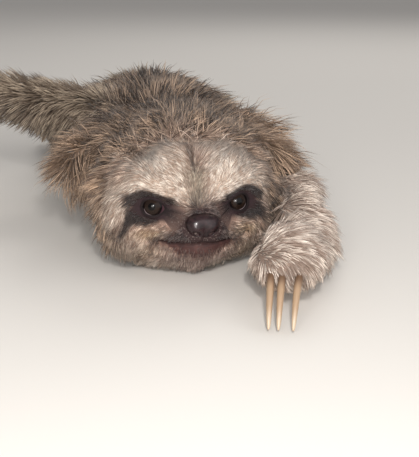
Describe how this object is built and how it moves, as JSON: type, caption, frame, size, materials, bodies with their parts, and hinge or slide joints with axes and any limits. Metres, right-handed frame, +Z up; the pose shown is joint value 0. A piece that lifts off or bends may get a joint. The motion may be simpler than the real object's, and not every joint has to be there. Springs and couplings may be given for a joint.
{
  "type": "three-toed sloth",
  "caption": "Life-size young three-toed sloth lying on its belly, chin on the floor, one arm forward beside the face and one out to the side, with long hooked claws.",
  "frame": {"origin": "on the floor, under the middle of the whole figure's box", "axes": "+Z up, +Y along the trunk from the head to the tail, +X to the animal's left"},
  "size_m": [0.251, 0.3432, 0.0717],
  "materials": {
    "coat": "long coarse grey-brown hair with pale tips",
    "face_coat": "short hair: cream brow, dark brown eye stripes, tan cheeks, grey-brown muzzle",
    "arm_coat": "greyish tan hair with dark streaks",
    "ear_skin": "dark bare skin, deep in the hair",
    "nose_skin": "moist, dark purple-brown, finely pebbled",
    "eye": "wet dark brown eye",
    "claw_horn": "tan horn, smooth, a little darker along its edges"
  },
  "bodies": {
    "root": {"head": "face_coat", "nose": "nose_skin", "left_eye": "eye", "right_eye": "eye", "left_ear": "ear_skin", "right_ear": "ear_skin", "neck": "coat", "trunk": "coat", "tail": "coat", "left_upper_arm": "arm_coat", "left_forearm": "arm_coat", "left_hand": "arm_coat", "left_hand_claw_1": "claw_horn", "left_hand_claw_2": "claw_horn", "left_hand_claw_3": "claw_horn", "right_upper_arm": "arm_coat", "right_forearm": "arm_coat", "right_hand": "arm_coat", "right_hand_claw_1": "claw_horn", "right_hand_claw_2": "claw_horn", "right_hand_claw_3": "claw_horn", "left_thigh": "arm_coat", "left_shin": "arm_coat", "left_foot": "arm_coat", "left_foot_claw_1": "claw_horn", "left_foot_claw_2": "claw_horn", "left_foot_claw_3": "claw_horn", "right_thigh": "arm_coat", "right_shin": "arm_coat", "right_foot": "arm_coat", "right_foot_claw_1": "claw_horn", "right_foot_claw_2": "claw_horn", "right_foot_claw_3": "claw_horn"}
  },
  "joints": []
}
